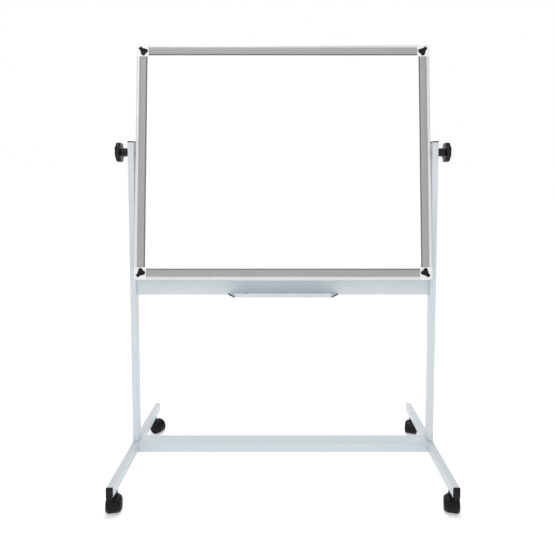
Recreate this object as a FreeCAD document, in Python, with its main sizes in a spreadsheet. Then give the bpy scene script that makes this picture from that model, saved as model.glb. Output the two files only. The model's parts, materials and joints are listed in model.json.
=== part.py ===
import FreeCAD, Part
import math
import os
import Sketcher
from FreeCAD import Placement, Rotation, Vector

# Rolling reversible whiteboard: a two-sided board in an aluminium frame, hung on two knob-tightened
# pivots between the uprights of a painted steel stand on four swivel casters.
# Frame: X to the right, Y to the back, Z up. The origin is on the floor, midway between the uprights.

DIMENSIONS = {
    # steel stand
    "tube_wall": 1.5,
    "tube_width": 25,
    "tube_depth": 40,
    "tube_corner": 3,
    "upright_inner": 604,
    "leg_under": 70,
    "leg_height": 40,
    "leg_tube_length": 662,
    "upright_length": 1243,
    "base_depth": 66,
    "crossbar_under": 727,
    "crossbar_height": 60,
    "crossbar_depth": 25,
    "crossbar_middle": 7.5,
    "cap_skirt": 12,
    "cap_head": 5,
    "plug_length": 18,
    "plug_gap": 0.3,
    "cap_rounding": 1.5,
    "bolt_radius": 3,
    "bolt_head_radius": 5.5,
    "bolt_head_height": 3.3,
    "foot_head_radius": 8,
    # pivot and knobs
    "pivot_height": 1314,
    "stud_radius": 5,
    "bush_radius": 8,
    "running_gap": 0.06,
    "free_gap": 0.3,
    "knob_radius": 41,
    "knob_neck_radius": 17,
    "knob_start": 630.8,
    "knob_neck_length": 28,
    "knob_head_length": 17,
    "knob_lobes": 8,
    "knob_rounding": 3,
    "knob_dish": 2,
    "knob_dish_radius": 22,
    "scallop_radius": 9,
    "scallop_depth": 5,
    "insert_radius": 8,
    "insert_length": 26,
    "washer_radius": 12,
    "washer_thickness": 1.5,
    "stud_end": 668,
    "spacer_radius": 14,
    "spacer_thickness": 3.6,
    "plate_thickness": 3,
    "plate_width": 11.5,
    "plate_length": 64,
    "plate_screw_place": 24,
    "screw_radius": 2,
    # board
    "board_tilt": 6,
    "board_half_width": 600,
    "board_above": 444,
    "board_below": 516,
    "rail_width": 44,
    "rail_lip": 12,
    "rail_edge_half": 8,
    "rail_inner_half": 8.5,
    "rail_step_half": 8.9,
    "rail_crown_radius": 48,
    "rail_wall": 1.7,
    "slot_gap": 0.1,
    "panel_half": 6,
    "sheet_thickness": 0.6,
    "panel_inset": 22,
    "corner_size": 50,
    "corner_half": 11.6,
    "corner_radius": 14,
    "corner_rounding": 2.5,
    "bracket_near": 3,
    "bracket_far": 17,
    "bracket_bevel": 10,
    "bracket_half": 5.5,
    "bracket_reach": 92,
    "cover_tail": 18,
    "cover_tail_half": 6.8,
    "cover_waist": 27,
    "cover_lobe": 8,
    "cover_lobe_along": 47,
    "cover_lobe_middle": 7.8,
    "cover_notch": 53.3,
    "cover_thickness": 2.2,
    # pen tray
    "tray_length": 450,
    "tray_reach": 52,
    "tray_under": 727,
    "tray_lip": 17,
    "tray_sheet": 1.2,
    "tray_taper": 30,
    "tray_cap": 3,
    "tray_cap_height": 5,
    "tray_screw_rise": 10,
    # casters
    "caster_from_end": 57,
    "wheel_radius": 28,
    "wheel_inner": 13,
    "wheel_width": 15,
    "caster_trail": 20,
    "hood_radius": 32.5,
    "hood_half_width": 19,
    "hood_gap": 1.3,
    "hood_under": 11,
    "hood_open": 36,
    "web_gap": 0.5,
    "boss_radius": 11,
    "boss_top": 65.7,
    "axle_radius": 3,
    "stem_radius": 4,
    "stem_foot": 51,
    "stem_rise": 18,
    "stem_flange": 9,
    "pedal_y": -40,
    "pedal_z": 55,
    "pedal_barrel": 3.5,
    "pedal_barrel_half": 8,
    "pedal_pin": 1.5,
    "pedal_reach": 14,
    "pedal_half": 13,
    "pedal_thickness": 2.6,
    "pedal_rise": 12,
    "ear_radius": 4.5,
    "ear_width": 4,
}

doc = FreeCAD.newDocument("RollingWhiteboard")
sheet = doc.addObject("Spreadsheet::Sheet", "Dims")
for row, (alias, size) in enumerate(DIMENSIONS.items(), start=1):
    sheet.set(f"A{row}", alias)
    sheet.set(f"B{row}", str(size))
    sheet.setAlias(f"B{row}", alias)
doc.recompute()

nodes = {}


def number(expression):
    """The value that an expression of sheet cells has now."""
    return float(sheet.evalExpression(expression))


def bound(text):
    """The same expression for use outside the sheet, with the sheet's name before each alias."""
    words = []
    word = ""
    for letter in text + " ":
        if letter.isalnum() or letter == "_":
            word += letter
            continue
        words.append("Dims." + word if word in DIMENSIONS else word)
        words.append(letter)
        word = ""
    return "".join(words).strip()


def bind(item, prop, expression):
    item.setExpression(prop, bound(expression))


def place(item, x="0", y="0", z="0", axis=(0, 0, 1), turn="0"):
    """Places an object by expressions, with one turn about an axis."""
    item.Placement = Placement(Vector(), Rotation(Vector(*axis), number(turn)))
    bind(item, "Placement.Base.x", x)
    bind(item, "Placement.Base.y", y)
    bind(item, "Placement.Base.z", z)
    if turn != "0":
        bind(item, "Placement.Rotation.Angle", turn)


def place_on_board(item):
    """Gives a board piece the board's pose: hung at the pivot, with its lower edge tilted forward."""
    place(item, z="pivot_height", axis=(1, 0, 0), turn="-board_tilt")


def node(item, label):
    item.Label = label
    nodes[label] = item
    return item


# --- sketches ------------------------------------------------------------------------------------

def fix_point(sketch, geometry, end, x, y):
    for kind, expression in (("DistanceX", x), ("DistanceY", y)):
        index = sketch.addConstraint(
            Sketcher.Constraint(kind, -1, 1, geometry, end, number(expression)))
        bind(sketch, f"Constraints[{index}]", expression)


def draw_circle(sketch, x, y, radius):
    circle = Part.Circle(Vector(number(x), number(y), 0), Vector(0, 0, 1), number(radius))
    geometry = sketch.addGeometry(circle, False)
    fix_point(sketch, geometry, 3, x, y)
    index = sketch.addConstraint(Sketcher.Constraint("Radius", geometry, number(radius)))
    bind(sketch, f"Constraints[{index}]", radius)


def arc_between(start, end, radius, side):
    """The shorter arc of this radius between two points, as a counter-clockwise curve. Seen from
    start to end it bulges to the left (1) or to the right (-1)."""
    chord = end.sub(start)
    half = chord.Length / 2
    rise = radius - math.sqrt(max(radius * radius - half * half, 0))
    left = Vector(-chord.y, chord.x, 0).normalize()
    middle = start.add(chord.multiply(0.5)).add(left.multiply(rise * side))
    return Part.Arc(start, middle, end) if side < 0 else Part.Arc(end, middle, start)


def draw_outline(sketch, corners):
    """Draws a closed outline. A corner is (x, y), or (x, y, radius, side) with an arc to the next."""
    spots = [Vector(number(c[0]), number(c[1]), 0) for c in corners]
    ends = []
    for index, corner in enumerate(corners):
        start, end = spots[index], spots[(index + 1) % len(spots)]
        if len(corner) == 2:
            geometry = sketch.addGeometry(Part.LineSegment(start, end), False)
            ends.append((geometry, 1, 2))
            continue
        arc = arc_between(start, end, number(corner[2]), corner[3])
        geometry = sketch.addGeometry(arc, False)
        ends.append((geometry, 1, 2) if corner[3] < 0 else (geometry, 2, 1))
        constraint = sketch.addConstraint(
            Sketcher.Constraint("Radius", geometry, number(corner[2])))
        bind(sketch, f"Constraints[{constraint}]", corner[2])
    for index, (geometry, start, _) in enumerate(ends):
        before = ends[index - 1]
        sketch.addConstraint(
            Sketcher.Constraint("Coincident", before[0], before[2], geometry, start))
        fix_point(sketch, geometry, start, corners[index][0], corners[index][1])


def draw_rectangle(sketch, x, y, width, height):
    left, right = f"{x} - ({width}) / 2", f"{x} + ({width}) / 2"
    low, high = f"{y} - ({height}) / 2", f"{y} + ({height}) / 2"
    draw_outline(sketch, [(left, low), (right, low), (right, high), (left, high)])


SHAPES = {"circle": draw_circle, "rectangle": draw_rectangle, "outline": draw_outline}


def sketch_on(body, plane, start, shapes):
    """A sketch on one of the body's own origin planes, lifted along the plane's normal by start."""
    plane = next(f for f in body.Origin.OriginFeatures if f.Role == plane)
    sketch = body.newObject("Sketcher::SketchObject", "Sketch")
    sketch.AttachmentSupport = [(plane, "")]
    sketch.MapMode = "FlatFace"
    bind(sketch, "AttachmentOffset.Base.z", start)
    for kind, *values in shapes:
        SHAPES[kind](sketch, *values)
    return sketch


# --- solid features ------------------------------------------------------------------------------

def new_body(label=None):
    """A body that is a node of its own, or one of a group's pieces where it has no label."""
    body = doc.addObject("PartDesign::Body", "Body")
    return node(body, label) if label else body


def pad(body, plane, start, length, shapes):
    """Adds the shapes' prism, from start along the plane's normal."""
    feature = body.newObject("PartDesign::Pad", "Pad")
    feature.Profile = sketch_on(body, plane, start, shapes)
    bind(feature, "Length", length)
    body.Tip = feature
    doc.recompute()
    return feature


def pocket(body, plane, top, depth, shapes):
    """Cuts the shapes' prism away, from top back against the plane's normal."""
    before = body.Shape.Volume
    feature = body.newObject("PartDesign::Pocket", "Pocket")
    feature.Profile = sketch_on(body, plane, top, shapes)
    bind(feature, "Length", depth)
    body.Tip = feature
    doc.recompute()
    if body.Shape.Volume >= before:
        raise ValueError(f"a pocket of {body.Label} cuts nothing")
    return feature


def revolve(body, plane, axis, corners):
    """Turns a closed outline round one of the sketch's own axes."""
    feature = body.newObject("PartDesign::Revolution", "Revolution")
    sketch = sketch_on(body, plane, "0", [("outline", corners)])
    feature.Profile = sketch
    feature.ReferenceAxis = (sketch, [axis])
    feature.Angle = 360
    body.Tip = feature
    doc.recompute()
    return feature


def round_edges(body, radius, wanted):
    """Rounds the edges of the body's tip that wanted() picks."""
    names = [f"Edge{i}" for i, edge in enumerate(body.Tip.Shape.Edges, start=1) if wanted(edge)]
    base = body.Tip
    feature = body.newObject("PartDesign::Fillet", "Fillet")
    feature.Base = (base, names)
    bind(feature, "Radius", radius)
    body.Tip = feature
    doc.recompute()
    return feature


def runs_along(direction):
    """Picks the straight edges that run along a direction."""
    def wanted(edge):
        if edge.Curve.TypeId != "Part::GeomLine":
            return False
        return abs(edge.tangentAt(edge.FirstParameter).dot(Vector(*direction))) > 0.999
    return wanted


def repeat_round(body, feature, plane_axis, count):
    """Repeats a feature round one of the body's origin axes."""
    axis = next(f for f in body.Origin.OriginFeatures if f.Role == plane_axis)
    pattern = body.newObject("PartDesign::PolarPattern", "PolarPattern")
    pattern.Originals = [feature]
    pattern.Axis = (axis, [""])
    pattern.Angle = 360
    bind(pattern, "Occurrences", count)
    body.Tip = pattern
    doc.recompute()
    return pattern


def cylinder(radius, height, x="0", y="0", z="0", axis=(0, 0, 1), turn="0"):
    item = doc.addObject("Part::Cylinder", "Cylinder")
    bind(item, "Radius", radius)
    bind(item, "Height", height)
    place(item, x, y, z, axis, turn)
    return item


def box(length, width, height, x="0", y="0", z="0"):
    """A box centred on x and y, standing on z."""
    item = doc.addObject("Part::Box", "Box")
    bind(item, "Length", length)
    bind(item, "Width", width)
    bind(item, "Height", height)
    place(item, f"{x} - ({length}) / 2", f"{y} - ({width}) / 2", z)
    return item


def fuse(items):
    item = doc.addObject("Part::MultiFuse", "Fuse")
    item.Shapes = items
    item.Refine = True
    return item


def cut(base, tool):
    item = doc.addObject("Part::Cut", "Cut")
    item.Base = base
    item.Tool = tool
    item.Refine = True
    return item


def group(label, items):
    """One node of one or more separate pieces."""
    item = doc.addObject("Part::Compound", "Group")
    item.Links = items
    return node(item, label)


X_AXIS_TURN = ((0, 1, 0), "90")
SIDES = (("left", -1), ("right", 1))


def across(side):
    """The turn that points a cylinder's height outward along X, to the left or the right."""
    return (0, 1, 0), str(90 * side)


# --- steel stand ---------------------------------------------------------------------------------

def tube(label, plane, direction, width, height, length, start="0"):
    """A rectangular tube along the plane's normal, with rounded outer edges and one bore."""
    body = new_body(label)
    pad(body, plane, start, length, [("rectangle", "0", "0", width, height)])
    round_edges(body, "tube_corner", runs_along(direction))
    inside = ("rectangle", "0", "0", f"{width} - 2 * tube_wall", f"{height} - 2 * tube_wall")
    pocket(body, plane, f"{start} + {length}", length, [inside])
    return body


def bolt_holes(body, plane, top, depth, spots, radius):
    pocket(body, plane, top, depth, [("circle", x, y, radius) for x, y in spots])


BOLT_SPOTS = {
    "base": [("-base_depth / 4", "0"), ("base_depth / 4", "0")],
    "crossbar": [("0", "-crossbar_height / 4"), ("0", "crossbar_height / 4")],
    "foot": [("0", "0")],
}
UPRIGHT_MIDDLE = "(upright_inner + tube_width / 2)"
LEG_MIDDLE_HEIGHT = "(leg_under + leg_height / 2)"
CROSSBAR_MIDDLE_HEIGHT = "(crossbar_under + crossbar_height / 2)"
CASTER_Y = "(leg_tube_length / 2 + cap_head - caster_from_end)"


def leg(side_name, side):
    body = tube(f"{side_name}_leg", "XZ_Plane", (0, 1, 0), "tube_width", "leg_height",
                "leg_tube_length", "-leg_tube_length / 2")
    # a threaded block is welded in over each caster stem
    for end in (-1, 1):
        middle = f"{end} * {CASTER_Y}"
        shape = [("rectangle", "0", middle, "tube_width - 2 * tube_wall", "26")]
        pad(body, "XY_Plane", "-leg_height / 2 + tube_wall", "14", shape)
    stems = [("0", f"{end} * {CASTER_Y}") for end in (-1, 1)]
    bolt_holes(body, "XY_Plane", "0", "leg_height", stems, "stem_radius")
    bolt_holes(body, "XY_Plane", "leg_height", "2 * leg_height", BOLT_SPOTS["foot"], "stem_radius")
    bolt_holes(body, "YZ_Plane", "tube_width", "2 * tube_width", BOLT_SPOTS["base"], "bolt_radius")
    place(body, f"{side} * {UPRIGHT_MIDDLE}", "0", LEG_MIDDLE_HEIGHT)


def upright(side_name, side):
    body = tube(f"{side_name}_upright", "XY_Plane", (0, 0, 1), "tube_width", "tube_depth",
                "upright_length")
    foot = "(leg_under + leg_height)"
    pivot = [("0", f"pivot_height - {foot}")]
    bolt_holes(body, "YZ_Plane", "tube_width", "2 * tube_width", pivot, "bush_radius")
    spots = [(f"{y} + crossbar_middle", f"{z} + {CROSSBAR_MIDDLE_HEIGHT} - {foot}")
             for y, z in BOLT_SPOTS["crossbar"]]
    bolt_holes(body, "YZ_Plane", "tube_width", "2 * tube_width", spots, "bolt_radius")
    place(body, f"{side} * {UPRIGHT_MIDDLE}", "0", foot)


def end_plug(width, height, spots, turn, x, y, z):
    """A threaded block inside a tube's end. Its bolts come in along its own X axis."""
    body = new_body()
    shapes = [("rectangle", "0", "0", f"{width} - 2 * tube_wall - plug_gap",
               f"{height} - 2 * tube_wall - plug_gap")]
    pad(body, "YZ_Plane", "-plug_length", "plug_length", shapes)
    bolt_holes(body, "YZ_Plane", "plug_length", "3 * plug_length", spots, "bolt_radius")
    place(body, x, y, z, *turn)
    return body


def end_cap(x, y, z, axis, turn):
    """A black plug for an open tube end: a head as large as the tube, and a skirt inside it."""
    body = new_body()
    pad(body, "XY_Plane", "0", "cap_head", [("rectangle", "0", "0", "tube_width", "tube_depth")])
    round_edges(body, "tube_corner", runs_along((0, 0, 1)))
    top = number("cap_head")
    round_edges(body, "cap_rounding", lambda e: all(abs(v.Z - top) < 1e-4 for v in e.Vertexes))
    inner = "(2 * tube_wall + plug_gap)"
    skirt = [("rectangle", "0", "0", f"tube_width - {inner}", f"tube_depth - {inner}")]
    pad(body, "XY_Plane", "-cap_skirt", "cap_skirt", skirt)
    hollow = [("rectangle", "0", "0", f"tube_width - {inner} - 4", f"tube_depth - {inner} - 4")]
    pocket(body, "XY_Plane", "0", "cap_skirt", hollow)
    place(body, x, y, z, axis, turn)
    return body


def bolt(head_radius, head_height, shank_radius, shank_length, x, y, z, axis, turn):
    """A socket button-head bolt. The head's seat is at the origin, and the shank runs down -Z."""
    head = cylinder(head_radius, head_height)
    shank = cylinder(shank_radius, shank_length, z=f"-({shank_length})")
    socket = doc.addObject("Part::Prism", "Socket")
    bind(socket, "Circumradius", f"{head_radius} * 0.5")
    bind(socket, "Height", head_height)
    place(socket, z=f"{head_height} * 0.4")
    item = cut(fuse([head, shank]), socket)
    place(item, x, y, z, axis, turn)
    return item


def build_stand():
    for side_name, side in SIDES:
        leg(side_name, side)
        upright(side_name, side)

    base = tube("base_cross_member", "YZ_Plane", (1, 0, 0), "base_depth", "leg_height",
                "2 * upright_inner", "-upright_inner")
    place(base, z=LEG_MIDDLE_HEIGHT)
    crossbar = tube("upper_crossbar", "YZ_Plane", (1, 0, 0), "crossbar_depth", "crossbar_height",
                    "2 * upright_inner", "-upright_inner")
    screw_spots = [(x, f"tray_under + tray_screw_rise - {CROSSBAR_MIDDLE_HEIGHT}")
                   for x in TRAY_SCREW_PLACES]
    bolt_holes(crossbar, "XZ_Plane", "crossbar_depth", "crossbar_depth", screw_spots,
               "screw_radius")
    place(crossbar, y="crossbar_middle", z=CROSSBAR_MIDDLE_HEIGHT)

    plugs = {"base_end_plugs": [], "crossbar_end_plugs": []}
    bolts = {"base_bolts": [], "crossbar_bolts": [], "foot_bolts": []}
    foot_plugs = []
    bushes = []
    for _, side in SIDES:
        face = ((0, 0, 1), "0" if side > 0 else "180")
        seats = (
            ("base", "base_depth", "leg_height", "0", LEG_MIDDLE_HEIGHT),
            ("crossbar", "crossbar_depth", "crossbar_height", "crossbar_middle",
             CROSSBAR_MIDDLE_HEIGHT),
        )
        for name, width, height, y, z in seats:
            spots = BOLT_SPOTS[name]
            plugs[f"{name}_end_plugs"].append(
                end_plug(width, height, spots, face, f"{side} * upright_inner", y, z))
            for spot_y, spot_z in spots:
                bolts[f"{name}_bolts"].append(
                    bolt("bolt_head_radius", "bolt_head_height", "bolt_radius",
                         "tube_width + plug_length - 3",
                         f"{side} * (upright_inner + tube_width)", f"{y} + {spot_y}",
                         f"{z} + {spot_z}", *across(side)))

        foot_plug = new_body()
        inner = "(2 * tube_wall + plug_gap)"
        shape = [("rectangle", "0", "0", f"tube_width - {inner}", f"tube_depth - {inner}")]
        pad(foot_plug, "XY_Plane", "0", "plug_length", shape)
        bolt_holes(foot_plug, "XY_Plane", "2 * plug_length", "3 * plug_length",
                   BOLT_SPOTS["foot"], "stem_radius")
        place(foot_plug, f"{side} * {UPRIGHT_MIDDLE}", "0", "leg_under + leg_height")
        foot_plugs.append(foot_plug)
        bolts["foot_bolts"].append(
            bolt("foot_head_radius", "bolt_head_height", "stem_radius",
                 "leg_height + plug_length - 3",
                 f"{side} * {UPRIGHT_MIDDLE}", "0", "leg_under", (1, 0, 0), "180"))

        bore = cylinder("stud_radius + running_gap", "3 * tube_width", z="-tube_width")
        bush = cut(cylinder("bush_radius", "tube_width"), bore)
        place(bush, f"{side} * upright_inner", "0", "pivot_height", *across(side))
        bushes.append(bush)

    group("upright_foot_plugs", foot_plugs)
    group("pivot_bushes", bushes)
    for label, items in list(plugs.items()) + list(bolts.items()):
        group(label, items)

    leg_end = "leg_tube_length / 2"
    group("leg_end_caps", [
        end_cap(f"{side} * {UPRIGHT_MIDDLE}", f"{end} * {leg_end}", LEG_MIDDLE_HEIGHT,
                (1, 0, 0), str(-90 * end))
        for _, side in SIDES for end in (-1, 1)])
    group("upright_top_caps", [
        end_cap(f"{side} * {UPRIGHT_MIDDLE}", "0", "leg_under + leg_height + upright_length",
                (0, 0, 1), "0")
        for _, side in SIDES])


# --- pen tray ------------------------------------------------------------------------------------

TRAY_SCREW_PLACES = ("-tray_length / 3", "0", "tray_length / 3")
TRAY_BACK = "(crossbar_middle - crossbar_depth / 2)"
TRAY_FRONT = f"({TRAY_BACK} - tray_reach)"


def build_tray():
    """A folded channel on the crossbar's face, narrower at the front, closed by two slanted ends."""
    half = "tray_length / 2"
    tray = new_body("pen_tray")
    pad(tray, "XY_Plane", "0", "tray_lip", [("outline", [
        (f"-{half}", TRAY_BACK), (half, TRAY_BACK),
        (f"{half} - tray_taper", TRAY_FRONT), (f"-{half} + tray_taper", TRAY_FRONT)])])
    middle = f"({TRAY_BACK} + {TRAY_FRONT}) / 2"
    trough = ("rectangle", "0", middle, "2 * tray_length", "tray_reach - 2 * tray_sheet")
    pocket(tray, "XY_Plane", "tray_lip", "tray_lip - tray_sheet", [trough])
    spots = [(x, "tray_screw_rise") for x in TRAY_SCREW_PLACES]
    bolt_holes(tray, "XZ_Plane", f"-{TRAY_BACK} + tray_sheet", "2 * tray_sheet", spots,
               "screw_radius")
    place(tray, z="tray_under")

    caps = []
    for _, side in SIDES:
        cap = new_body()
        pad(cap, "XY_Plane", "0", "tray_cap_height", [("outline", [
            (f"{side} * {half}", TRAY_BACK),
            (f"{side} * ({half} + tray_cap)", TRAY_BACK),
            (f"{side} * ({half} - tray_taper + tray_cap)", TRAY_FRONT),
            (f"{side} * ({half} - tray_taper)", TRAY_FRONT)])])
        place(cap, z="tray_under")
        caps.append(cap)
    group("tray_end_caps", caps)

    group("tray_screws", [
        bolt("screw_radius * 2", "screw_radius", "screw_radius", "tray_sheet + 8",
             x, f"{TRAY_BACK} - tray_sheet", "tray_under + tray_screw_rise", (1, 0, 0), "90")
        for x in TRAY_SCREW_PLACES])


# --- board ---------------------------------------------------------------------------------------

BOARD_MIDDLE = "(board_above - board_below) / 2"
BOARD_HEIGHT = "(board_above + board_below)"


def from_side(side):
    """Turns a distance in from the board's left or right edge into X."""
    return lambda inward: f"{side} * (board_half_width - ({inward}))"


def from_end(end):
    """Turns a distance in from the board's top (1) or bottom (-1) edge into Z."""
    edge = "board_above" if end > 0 else "board_below"
    return lambda inward: f"{end} * ({edge} - ({inward}))"


def rail_section(inward_to_x, y_first=False):
    """A frame rail's section: an edge lip, a crowned band, and a slot that takes the panel."""
    slot = "panel_half + slot_gap"
    half = [
        ("0", "rail_edge_half - 2"),
        ("2", "rail_edge_half"),
        ("rail_lip", "rail_edge_half"),
        ("rail_lip", "rail_step_half"),
        ("rail_width - 3", "rail_inner_half", "rail_crown_radius"),
        ("rail_width", "rail_inner_half - 1.5"),
        ("rail_width", slot),
        ("panel_inset - 2", slot),
    ]
    front = [(u, f"-({v})") for u, v, *_ in half]
    back = [(u, v) for u, v, *_ in reversed(half)]
    points = [(inward_to_x(u), v) for u, v in front + back]
    if y_first:
        points = [(v, u) for u, v in points]
    turn = winding(points)
    crown_start = 3
    crown_end_back = 2 * len(half) - 1 - 4
    corners = []
    for index, point in enumerate(points):
        if index in (crown_start, crown_end_back):
            corners.append((*point, "rail_crown_radius", -turn))
        else:
            corners.append(point)
    return corners


def winding(points):
    """1 where the outline runs counter-clockwise, and -1 where it runs clockwise."""
    spots = [(number(x), number(y)) for x, y in points]
    area = sum(x0 * y1 - x1 * y0 for (x0, y0), (x1, y1) in zip(spots, spots[1:] + spots[:1]))
    return 1 if area > 0 else -1


def rail_cavity(inward_to_x, y_first=False):
    middle, size = "panel_inset / 2 - 1", "panel_inset - 2 - 2 * rail_wall"
    depth = "2 * (rail_edge_half - rail_wall)"
    if y_first:
        return ("rectangle", "0", inward_to_x(middle), depth, size)
    return ("rectangle", inward_to_x(middle), "0", size, depth)


def build_rails():
    length = f"{BOARD_HEIGHT} - 2 * corner_size"
    start = "corner_size - board_below"
    for side_name, side in SIDES:
        rail = new_body(f"{side_name}_rail")
        inward = from_side(side)
        pad(rail, "XY_Plane", start, length, [("outline", rail_section(inward))])
        pocket(rail, "XY_Plane", f"{start} + {length}", length, [rail_cavity(inward)])
        # through the outer wall only: the pivot stud and the two screws of its plate
        top = "board_half_width + 1" if side > 0 else "rail_wall + 1 - board_half_width"
        holes = [("circle", "0", "0", "stud_radius + plug_gap")]
        holes += [("circle", "0", f"{end} * plate_screw_place", "screw_radius") for end in (-1, 1)]
        pocket(rail, "YZ_Plane", top, "rail_wall + 2", holes)
        place_on_board(rail)
    for end_name, end in (("bottom", -1), ("top", 1)):
        rail = new_body(f"{end_name}_rail")
        inward = from_end(end)
        width = "2 * (board_half_width - corner_size)"
        start_x = "corner_size - board_half_width"
        pad(rail, "YZ_Plane", start_x, width, [("outline", rail_section(inward, True))])
        pocket(rail, "YZ_Plane", f"{start_x} + {width}", width, [rail_cavity(inward, True)])
        place_on_board(rail)


def board_slab(label, front, thickness):
    """A flat layer of the panel. Its face is front ahead of the panel's middle."""
    body = new_body(label)
    width = "2 * (board_half_width - panel_inset)"
    shape = ("rectangle", "0", BOARD_MIDDLE, width, f"{BOARD_HEIGHT} - 2 * panel_inset")
    pad(body, "XZ_Plane", f"{front} - {thickness}", thickness, [shape])
    place_on_board(body)


def build_panel():
    board_slab("front_panel", "panel_half", "sheet_thickness")
    core_half = "(panel_half - sheet_thickness)"
    board_slab("core_board", core_half, f"(2 * {core_half})")
    board_slab("rear_panel", "(sheet_thickness - panel_half)", "sheet_thickness")


def corner_cap(label, side, end):
    """A moulded corner that covers the rails' ends, slotted for the panel and the L bracket."""
    x_of, z_of = from_side(side), from_end(end)
    body = new_body(label)
    corners = [(x_of("0"), z_of("corner_radius")), (x_of("corner_radius"), z_of("0")),
               (x_of("corner_size"), z_of("0")), (x_of("corner_size"), z_of("corner_size")),
               (x_of("0"), z_of("corner_size"))]
    turn = winding(corners)
    corners[0] = (*corners[0], "corner_radius", -turn)
    pad(body, "XZ_Plane", "-corner_half", "2 * corner_half", [("outline", corners)])
    edge = number("corner_half")
    inner_x, inner_z = number(x_of("corner_size")), number(z_of("corner_size"))

    def on_outer_rim(item):
        """The front and back rims of the two outer sides and of the rounded corner."""
        if not all(abs(abs(v.Y) - edge) < 1e-4 for v in item.Vertexes):
            return False
        middle = item.CenterOfMass
        return abs(middle.x - inner_x) > 1 and abs(middle.z - inner_z) > 1

    round_edges(body, "corner_rounding", on_outer_rim)
    slot_middle_x = x_of("(panel_inset - 2 + 2 * corner_size) / 2")
    slot_middle_z = z_of("(panel_inset - 2 + 2 * corner_size) / 2")
    slot_size = "2 * corner_size - panel_inset + 2"
    slot = ("rectangle", slot_middle_x, slot_middle_z, slot_size, slot_size)
    slot_half = "(panel_half + slot_gap)"
    pocket(body, "XZ_Plane", slot_half, f"2 * {slot_half}", [slot])
    channel = bracket_outline(x_of, z_of, "plug_gap", "corner_size + 1")
    channel_half = "(bracket_half + plug_gap)"
    pocket(body, "XZ_Plane", channel_half, f"2 * {channel_half}", [("outline", channel)])
    place_on_board(body)


def bracket_outline(x_of, z_of, gap, reach):
    near, far = f"bracket_near - {gap}", f"bracket_far + {gap}"
    bevel = f"bracket_near + bracket_bevel - {gap}"
    return [(x_of(near), z_of(reach)), (x_of(near), z_of(bevel)), (x_of(bevel), z_of(near)),
            (x_of(reach), z_of(near)), (x_of(reach), z_of(far)), (x_of(far), z_of(far)),
            (x_of(far), z_of(reach))]


def corner_bracket(side, end):
    body = new_body()
    outline = bracket_outline(from_side(side), from_end(end), "0", "bracket_reach")
    pad(body, "XZ_Plane", "-bracket_half", "2 * bracket_half", [("outline", outline)])
    return body


def corner_cover(side, end, face):
    """A black trim piece along the corner's diagonal: a narrow tail outward and two lobes inward."""
    def lobe(way):
        """One lobe's outline, from the notch at the head's middle round to the tail."""
        return [("cover_notch", "0"),
                ("cover_lobe_along + cover_lobe", f"{way} * cover_lobe_middle"),
                ("cover_lobe_along", f"{way} * (cover_lobe_middle + cover_lobe)"),
                ("cover_waist", f"{way} * cover_tail_half"),
                ("cover_tail", f"{way} * cover_tail_half")]

    outline = lobe(1) + lobe(-1)[:0:-1]
    for index in (1, 7):
        outline[index] = (*outline[index], "cover_lobe", -1)
    body = new_body()
    pad(body, "XZ_Plane", "corner_half", "cover_thickness", [("outline", outline)])
    # turned until the tail points at the board's corner, and over to the back for the rear face
    turn = math.atan2(end, -side)
    axis, angle = (0, 1, 0), math.degrees(turn)
    if face < 0:
        axis, angle = (math.cos(turn / 2), 0, -math.sin(turn / 2)), 180
    place(body, from_side(side)("0"), "0", from_end(end)("0"), axis, str(angle))
    return body


def pivot_plate(side_name, side):
    """A plate inside the side rail with the pivot's threaded stud welded to it."""
    body = new_body(f"{side_name}_pivot_plate")
    wall = "board_half_width - rail_wall"
    pad(body, "YZ_Plane", f"{wall} - plate_thickness", "plate_thickness",
        [("rectangle", "0", "0", "plate_width", "plate_length")])
    holes = [("0", f"{end} * plate_screw_place") for end in (-1, 1)]
    bolt_holes(body, "YZ_Plane", "board_half_width", "board_half_width", holes, "screw_radius")
    pad(body, "YZ_Plane", wall, "stud_end - board_half_width + rail_wall",
        [("circle", "0", "0", "stud_radius")])
    turn_to_side(body, side)


def turn_to_side(item, side):
    """Places a piece made for the right pivot on the board at the right, or turned to the left."""
    place_on_board(item)
    if side < 0:
        tilt = Rotation(Vector(1, 0, 0), -number("board_tilt"))
        item.setExpression("Placement.Rotation.Angle", None)
        item.Placement.Rotation = tilt * Rotation(Vector(0, 0, 1), 180)


def build_board():
    build_rails()
    build_panel()
    corners = [(side_name, side, end_name, end) for end_name, end in (("top", 1), ("bottom", -1))
               for side_name, side in SIDES]
    for side_name, side, end_name, end in corners:
        corner_cap(f"{end_name}_{side_name}_corner_cap", side, end)
    places = [(side, end) for _, side, _, end in corners]
    place_on_board(group("corner_brackets", [corner_bracket(*spot) for spot in places]))
    covers = [corner_cover(*spot, face) for face in (1, -1) for spot in places]
    place_on_board(group("corner_covers", covers))
    screws, spacers = [], []
    for side_name, side in SIDES:
        pivot_plate(side_name, side)
        for end in (-1, 1):
            screws.append(bolt("screw_radius * 1.8", "screw_radius * 0.8", "screw_radius", "6",
                               f"{side} * board_half_width", "0", f"{end} * plate_screw_place",
                               *across(side)))
        bore = cylinder("stud_radius + plug_gap", "3 * spacer_thickness", z="-spacer_thickness")
        spacer = cut(cylinder("spacer_radius", "spacer_thickness"), bore)
        place(spacer, f"{side} * board_half_width", "0", "0", *across(side))
        spacers.append(spacer)
    place_on_board(group("pivot_plate_screws", screws))
    place_on_board(group("pivot_spacers", spacers))


# --- knobs ---------------------------------------------------------------------------------------

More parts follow.
